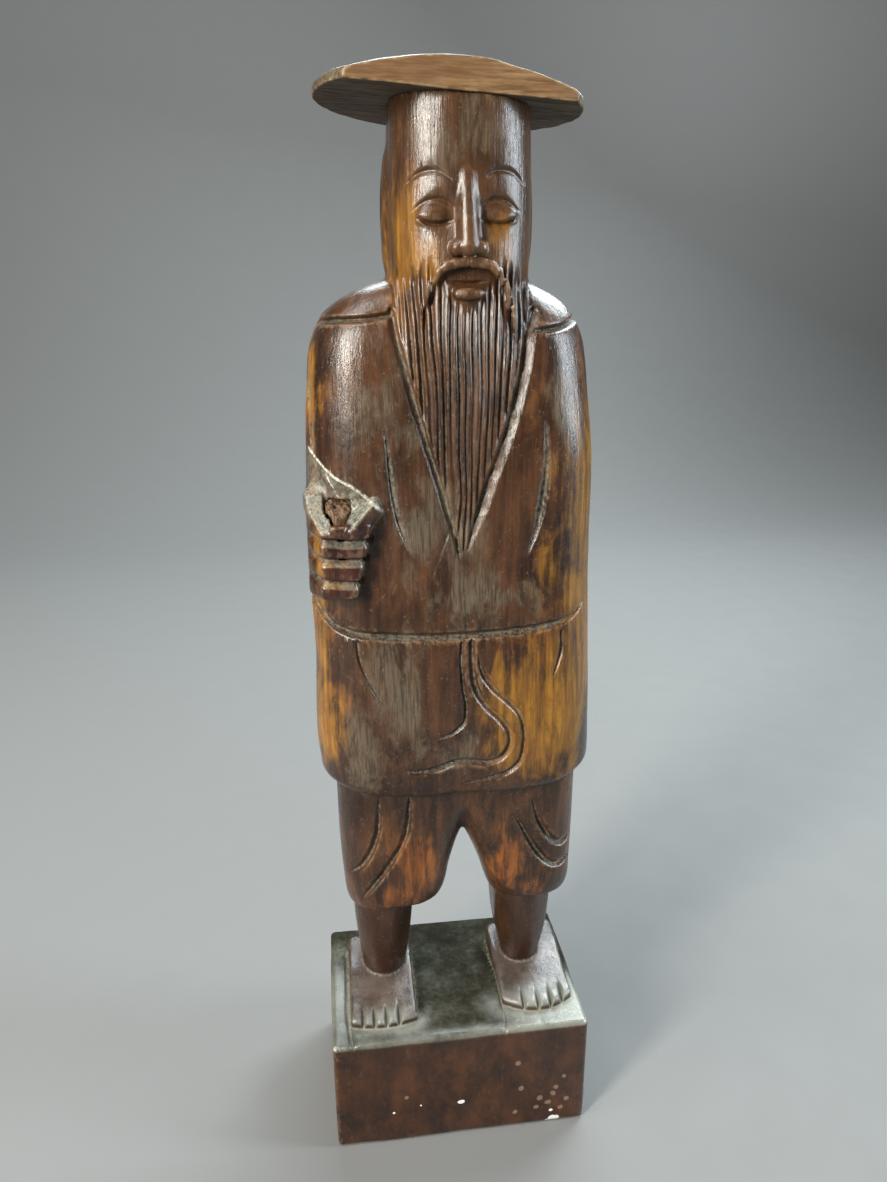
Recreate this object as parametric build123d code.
"""Carved hardwood figure of an old bearded man in a coat, knee trousers and a flat hat, standing on a plinth.

The figure and its plinth are one block of wood. The hat is a separate board, held on the crown of the head by a
hidden dowel. The stub of a broken rod sits in a blind hole in the closed right hand.

Millimetres, +Z up. The origin is the centre of the plinth's underside. The figure faces -Y, so its right hand is
on the -X side.
"""

from build123d import *
import os

os.makedirs("parts", exist_ok=True)

# Plinth: the full section of the block of wood.
PLINTH_W = 104.0
PLINTH_D = 69.0
PLINTH_H = 52.0
PLINTH_CORNER = 3.0
PLINTH_EDGE = 1.2

# Heights of the levels that the carver worked to.
TROUSER_HEM_Z = 103.0
COAT_HEM_Z = 159.0
BELT_Z = 223.0
SHOULDER_Z = 325.0
CHIN_Z = 322.0
NOSE_TIP_Z = 346.0
EYE_Z = 356.0
BROW_Z = 365.5
CROWN_Z = 388.0
TOP_Z = 400.0

# The figure stands a little to the +X side of the plinth's middle.
AXIS_X = 1.6

# Head: an upright column of wood with rounded corners.
HEAD_HALF = 22.0
HEAD_FRONT = -30.5
HEAD_BACK = 17.0

# Coat: a rounded column with a nearly flat front.
COAT_FRONT = -31.0
COAT_BACK = 28.0

# Hat: a low dome with a thin rim, leaning down to +X, its front sliced off.
HAT_R = 41.5
HAT_X = -0.8
HAT_Y = -8.0
HAT_RIM = 3.0
HAT_LEAN = 3.2
HAT_SLICE_Y = -31.5
HAT_SLICE_TURN = 3.5

# Dowel that joins the hat to the head.
DOWEL_R = 4.0
DOWEL_IN_HEAD = 16.0
DOWEL_IN_HAT = 6.0
DOWEL_PLAY = 0.05
DOWEL_GAP = 0.5

# Toes, cut as notches in the front edge of each foot.
TOE_GAP = 1.2
TOE_L = 7.0

# Right hand and the stub of the rod that it holds.
HAND_X = -40.0
HAND_FRONT = -34.5
FINGER_R = 3.7
FINGER_PITCH = 6.9
FINGER_LOW_Z = 243.0
THUMB_R = 4.0
ROD_X = -40.0
ROD_Y = -27.8
ROD_R = 4.1
ROD_PLAY = 0.05
ROD_BOTTOM_Z = 252.0
ROD_TOP_Z = 270.0
ROD_SEAT_GAP = 0.4
ROD_HOLE_R = 0.8
ROD_HOLE_DEPTH = 4.0

# Knife lines in the front of the coat, trousers and beard.
LINE_W = 2.0
LINE_DEPTH = 1.4
BEARD_LINES = 15
BEARD_LINE_W = 0.9
BEARD_FRONT = -34.0


def slab(z, x_low, x_high, y_low, y_high, corner):
    """A rounded rectangle at height z between the given sides."""
    outline = RectangleRounded(x_high - x_low, y_high - y_low, corner)
    return Pos((x_low + x_high) / 2, (y_low + y_high) / 2, z) * outline


def stack(*levels):
    """One solid through rounded rectangles at rising heights."""
    return loft([slab(*level) for level in levels])


def round_bar(start, end, radius):
    """A round bar with ball ends between two points."""
    line = Line(start, end)
    bar = extrude(Plane(start, z_dir=line % 0) * Circle(radius), line.length)
    return bar + Pos(*start) * Sphere(radius) + Pos(*end) * Sphere(radius)


def facing(outline, front_y, back_y):
    """A flat outline in x and z, given depth from back_y forward to front_y."""
    return Pos(0, back_y, 0) * extrude(Plane.XZ * outline, back_y - front_y)


def front_line(points, width, floor_y):
    """Cutter for a knife line seen from the front, down to floor_y."""
    path = Spline(*points) if len(points) > 2 else Line(*points)
    return facing(trace(path, width), -60, floor_y)


def plinth():
    block = Pos(0, 0, PLINTH_H / 2) * Box(PLINTH_W, PLINTH_D, PLINTH_H)
    block = fillet(block.edges().filter_by(Axis.Z), PLINTH_CORNER)
    rim = block.faces().sort_by(Axis.Z)[-1].edges()
    return chamfer(rim, PLINTH_EDGE)


def foot(x_low, x_high, toe_y, bow, heel_y):
    """Low flat foot whose front bows out and is notched into five toes, with a short rising instep."""
    front = ThreePointArc((x_low, toe_y + bow), ((x_low + x_high) / 2, toe_y), (x_high, toe_y + bow))
    sides = Polyline((x_low, toe_y + bow), (x_low, heel_y), (x_high, heel_y), (x_high, toe_y + bow))
    sole = Pos(0, 0, PLINTH_H - 2) * extrude(make_face(front + sides), 5.6)
    instep = stack(
        (PLINTH_H + 2, x_low + 1.5, x_high - 1.5, toe_y + 8, heel_y, 6.0),
        (PLINTH_H + 8, x_low + 3.5, x_high - 3.5, toe_y + 18, heel_y, 5.0),
    )
    shape = sole + instep
    toe_pitch = (x_high - x_low) / 5
    for gap in range(1, 5):
        notch = Box(TOE_GAP, 2 * TOE_L, 5)
        shape -= Pos(x_low + gap * toe_pitch, toe_y, PLINTH_H + 4) * notch
    return shape


def shin(x_mid):
    return stack(
        (PLINTH_H + 4, x_mid - 10.5, x_mid + 10.5, -5, 16, 7.0),
        (PLINTH_H + 30, x_mid - 11.5, x_mid + 11.5, -9, 17, 8.0),
        (PLINTH_H + 56, x_mid - 12.5, x_mid + 12.5, -12, 18, 9.0),
    )


def trouser_leg(hem_low, hem_high, top_low, top_high):
    """One wide leg, hanging nearly straight and rounded in at the hem."""
    lip = 2.5
    flare = stack(
        (TROUSER_HEM_Z, hem_low + lip, hem_high - lip, -15, 19, 9.0),
        (TROUSER_HEM_Z + 4, hem_low, hem_high, -18, 21, 10.0),
    )
    leg = stack(
        (TROUSER_HEM_Z + 4, hem_low, hem_high, -18, 21, 10.0),
        (COAT_HEM_Z + 6, top_low, top_high, -24, 23, 12.0),
    )
    return flare + leg


def coat():
    """Body of the coat: the skirt, the chest and the sloping shoulders."""
    front = COAT_FRONT
    back = COAT_BACK
    hem = (COAT_HEM_Z + 8, -50.3, 51.2, front, back, 18.0)
    belt = (BELT_Z, -50.2, 49.6, front, back, 19.0)
    arms = (SHOULDER_Z - 7, -47.0, 44.6, front + 1.5, back - 3, 19.0)
    hem_roll = stack((COAT_HEM_Z, -46.0, 47.0, front + 4, back - 3.5, 16.0), hem)
    skirt = stack(hem, belt)
    chest = stack(belt, (BELT_Z + 48, -50.4, 48.4, front, back, 19.0), arms)
    shoulders = stack(
        arms,
        (SHOULDER_Z + 1, -43.0, 40.6, front + 4, back - 6, 18.0),
        (SHOULDER_Z + 7, -34.5, 34.0, front + 8, back - 10, 16.0),
        (SHOULDER_Z + 13, -20.0, 23.0, front + 13, back - 15, 12.0),
    )
    return hem_roll + skirt + chest + shoulders


def belt_line():
    """Cutter for the belt line, which runs across the front and round the corners of the coat."""
    outer = slab(0, -60, 60, COAT_FRONT - 8, COAT_BACK + 8, 20)
    inner = slab(0, -49.0, 48.4, COAT_FRONT + LINE_DEPTH, COAT_BACK - LINE_DEPTH, 17.5)
    ring = Pos(0, 0, BELT_Z - LINE_W / 2) * extrude(outer - inner, LINE_W)
    front_part = Pos(-8, -40, BELT_Z) * Box(104, 60, 10)
    return ring & front_part


def coat_lines():
    """Knife lines on the front of the coat: lapels, folds, the three edges of the hanging sash and the seams."""
    lines = (
        ((-18, 324), (-11, 292), (-6, 268), (-1, 249)),
        ((-1, 249), (8, 268), (16, 292), (25, 324)),
        ((-25, 297), (-23.2, 277), (-16, 250)),
        ((27.6, 297), (28, 272), (22, 249)),
        ((-35.5, 220), (-32.8, 209), (-26, 197.5)),
        ((35, 222), (35, 215), (32, 204.5)),
        ((-0.2, 220), (0.5, 203), (0.5, 191), (-10.5, 184)),
        ((3.4, 220), (5, 203), (17, 185), (10, 173.5), (-6, 173), (-23.5, 173)),
        ((5.4, 216), (16.7, 197), (22.4, 180), (11, 166.8), (-1, 164.6)),
    )
    cutters = [front_line(points, LINE_W, COAT_FRONT + LINE_DEPTH) for points in lines]
    for x_low, x_high in ((-43, -23), (24, 38)):
        seam = Pos((x_low + x_high) / 2, COAT_FRONT, SHOULDER_Z - 1) * Box(x_high - x_low, 14, LINE_W)
        cutters.append(seam)
    return cutters


def trouser_lines():
    """Two curved folds on the front of each trouser leg."""
    folds = (
        ((-30, 153), (-31, 132), (-40, 116)),
        ((-18, 153), (-20, 130), (-34, 108)),
        ((28, 153), (34, 134), (44, 126)),
        ((23, 146), (33, 128), (44, 119)),
    )
    return [front_line(fold, LINE_W, -19.0) for fold in folds]


def head():
    x = AXIS_X
    column = stack(
        (CHIN_Z - 8, x - HEAD_HALF, x + HEAD_HALF, HEAD_FRONT, HEAD_BACK, 16.0),
        (CROWN_Z + 6, x - HEAD_HALF, x + HEAD_HALF, HEAD_FRONT, HEAD_BACK, 16.0),
    )
    above_crown = Pos(0, 0, 30) * Box(160, 160, 60)
    return column - crown_plane() * above_crown


def ears():
    """Long low ears close to the sides of the head."""
    pair = Part()
    for side in (-1, 1):
        lobe = Pos(AXIS_X + side * HEAD_HALF, -4, EYE_Z - 4) * scale(Sphere(1), (2.0, 5.5, 17))
        pair += lobe
    return pair


def face():
    """Generic brows, nose and moustache, standing proud of the head."""
    x = AXIS_X
    bridge = slab(BROW_Z - 1, x - 2.2, x + 2.2, HEAD_FRONT - 1.2, HEAD_FRONT + 5, 0.9)
    tip = slab(NOSE_TIP_Z, x - 4.4, x + 4.4, HEAD_FRONT - 3.8, HEAD_FRONT + 5, 1.4)
    shape = loft([tip, bridge])
    for side in (-1, 1):
        brow = Spline((x + side * 4, BROW_Z), (x + side * 10, BROW_Z + 2.2), (x + side * 16, BROW_Z - 1))
        shape += facing(trace(brow, 2.0), HEAD_FRONT - 1.0, HEAD_FRONT + 6)
        whisker = Spline(
            (x + side * 1, NOSE_TIP_Z - 4),
            (x + side * 9, NOSE_TIP_Z - 6),
            (x + side * 14, NOSE_TIP_Z - 16),
            (x + side * 15, CHIN_Z - 4),
        )
        shape += facing(trace(whisker, 4.5), BEARD_FRONT - 0.6, HEAD_FRONT + 6)
    return shape


def face_cuts():
    """Narrow almond eyes and the line of the mouth."""
    cutters = []
    for side in (-1, 1):
        eye = Pos(AXIS_X + side * 9.5, EYE_Z) * Ellipse(4.2, 1.1)
        cutters.append(facing(eye, -60, HEAD_FRONT + 1.0))
    mouth = Pos(AXIS_X, NOSE_TIP_Z - 9.5) * Ellipse(4.5, 0.9)
    cutters.append(facing(mouth, -60, BEARD_FRONT + 1.5))
    return cutters


def beard():
    """Long pointed beard lying on the chest, with straight strands cut into it."""
    x = AXIS_X - 0.5
    outline = Polyline(
        (x - 15, NOSE_TIP_Z - 8),
        (x + 15, NOSE_TIP_Z - 8),
        (x + 19.5, CHIN_Z),
        (x + 13.5, CHIN_Z - 30),
        (x + 8.5, CHIN_Z - 45),
        (x, CHIN_Z - 72),
        (x - 8.5, CHIN_Z - 45),
        (x - 13.5, CHIN_Z - 30),
        (x - 19.5, CHIN_Z),
        close=True,
    )
    drape = facing(make_face(outline), BEARD_FRONT, COAT_FRONT + 6)
    for n in range(BEARD_LINES):
        spread = n / (BEARD_LINES - 1) - 0.5
        top = (x + spread * 33, NOSE_TIP_Z - 11)
        bottom = (x + spread * 15, CHIN_Z - 60)
        drape -= front_line((top, bottom), BEARD_LINE_W, BEARD_FRONT + 1.0)
    return drape


def hand():
    """Closed right hand: four stacked fingers, the thumb across the top, and the palm behind them."""
    palm = stack(
        (FINGER_LOW_Z - FINGER_R, HAND_X - 10, HAND_X + 5, -31, -18, 3.0),
        (FINGER_LOW_Z + 22.5, HAND_X - 10, HAND_X + 8, -32, -18, 3.0),
    )
    shape = palm
    for n in range(4):
        z = FINGER_LOW_Z + n * FINGER_PITCH
        knuckle = (HAND_X - 6.8, HAND_FRONT + FINGER_R, z)
        tip = (HAND_X + 1.2 + n * 1.4, HAND_FRONT + FINGER_R + 0.4, z)
        shape += round_bar(knuckle, tip, FINGER_R)
    thumb_root = (HAND_X + 10.5, HAND_FRONT + 5.5, FINGER_LOW_Z + 25.5)
    thumb_tip = (HAND_X + 4.5, HAND_FRONT + 4.5, FINGER_LOW_Z + 20)
    return shape + round_bar(thumb_root, thumb_tip, THUMB_R)


def sleeve_mouth():
    """Hollow above the hand, where it comes out of the sleeve."""
    floor_z = FINGER_LOW_Z + 21
    outline = Polyline(
        (HAND_X - 14, floor_z + 25),
        (HAND_X - 2, floor_z + 14),
        (HAND_X + 13, floor_z + 3),
        (HAND_X + 13, floor_z),
        (HAND_X - 14, floor_z),
        close=True,
    )
    return facing(make_face(outline), -60, -22.5)


def crown_plane():
    """The leaning plane where the head meets the underside of the hat; its z axis is the dowel's axis."""
    return Plane(origin=(HAT_X, HAT_Y, CROWN_Z)).rotated((0, HAT_LEAN, 0))


def hat():
    """Low dome on a thin rim, sliced flat at the front, with a blind hole for the dowel."""
    dome_h = TOP_Z - CROWN_Z - 0.4
    slope = Spline(
        (HAT_R, HAT_RIM),
        (HAT_R * 0.55, dome_h * 0.78),
        (0, dome_h),
        tangents=((-1, 0.3), (-1, 0)),
    )
    rim = Polyline((0, dome_h), (0, 0), (HAT_R, 0), (HAT_R, HAT_RIM))
    dome = revolve(Plane.XZ * make_face(slope + rim), Axis.Z)
    hole_depth = DOWEL_IN_HAT + DOWEL_GAP
    dome -= Pos(0, 0, hole_depth / 2) * Cylinder(DOWEL_R + DOWEL_PLAY, hole_depth)
    seated = crown_plane() * dome
    front = Pos(0, HAT_SLICE_Y, CROWN_Z) * Rot(0, 0, HAT_SLICE_TURN) * Pos(0, -30, 0) * Box(160, 60, 60)
    return seated - front


def hat_dowel():
    length = DOWEL_IN_HEAD + DOWEL_IN_HAT
    pin = Pos(0, 0, (DOWEL_IN_HAT - DOWEL_IN_HEAD) / 2) * Cylinder(DOWEL_R, length)
    pin = chamfer(pin.edges().filter_by(GeomType.CIRCLE), 0.6)
    return crown_plane() * pin


def dowel_hole():
    depth = DOWEL_IN_HEAD + DOWEL_GAP
    return crown_plane() * Pos(0, 0, 1 - depth / 2) * Cylinder(DOWEL_R + DOWEL_PLAY, depth + 2)


def rod_stub():
    """Broken end of the rod: a short stick with a slanting break and a small hole in its end."""
    length = ROD_TOP_Z - ROD_BOTTOM_Z
    stick = Pos(ROD_X, ROD_Y, ROD_BOTTOM_Z + length / 2) * Cylinder(ROD_R, length)
    break_plane = Pos(ROD_X, ROD_Y, ROD_TOP_Z - 1.4) * Rot(16, -12, 0)
    stick -= break_plane * Pos(0, 0, 10) * Box(20, 20, 20)
    hole_centre_z = ROD_TOP_Z - ROD_HOLE_DEPTH / 2
    return stick - Pos(ROD_X - 0.9, ROD_Y - 0.6, hole_centre_z) * Cylinder(ROD_HOLE_R, ROD_HOLE_DEPTH)


def rod_hole():
    low = ROD_BOTTOM_Z - ROD_SEAT_GAP
    high = ROD_TOP_Z + 8
    return Pos(ROD_X, ROD_Y, (low + high) / 2) * Cylinder(ROD_R + ROD_PLAY, high - low)


def carved_figure():
    """Figure and plinth in one piece of wood."""
    body = coat() + head()
    body += [ears(), face()]
    body -= [belt_line(), *coat_lines()]
    legs = trouser_leg(-42.0, -6.5, -45.0, 8.0) + trouser_leg(15.5, 47.0, -1.0, 48.0)
    legs -= trouser_lines()
    block = plinth()
    block += [foot(-44.2, -17.0, -26.8, 2.5, 17), foot(18.4, 48.4, -26.3, 5.5, 17)]
    block += [shin(-28.8), shin(29.9), legs, body, beard()]
    block -= face_cuts()
    block -= sleeve_mouth()
    block += hand()
    return block - [dowel_hole(), rod_hole()]


def main():
    pieces = {
        "carved_figure": carved_figure(),
        "hat": hat(),
        "hat_dowel": hat_dowel(),
        "rod_stub": rod_stub(),
    }
    for name, piece in pieces.items():
        solids = piece.solids()
        box = piece.bounding_box()
        print(name, len(solids), [round(s.volume) for s in solids], box.min, box.max)
        export_step(piece, f"parts/{name}.step")


main()
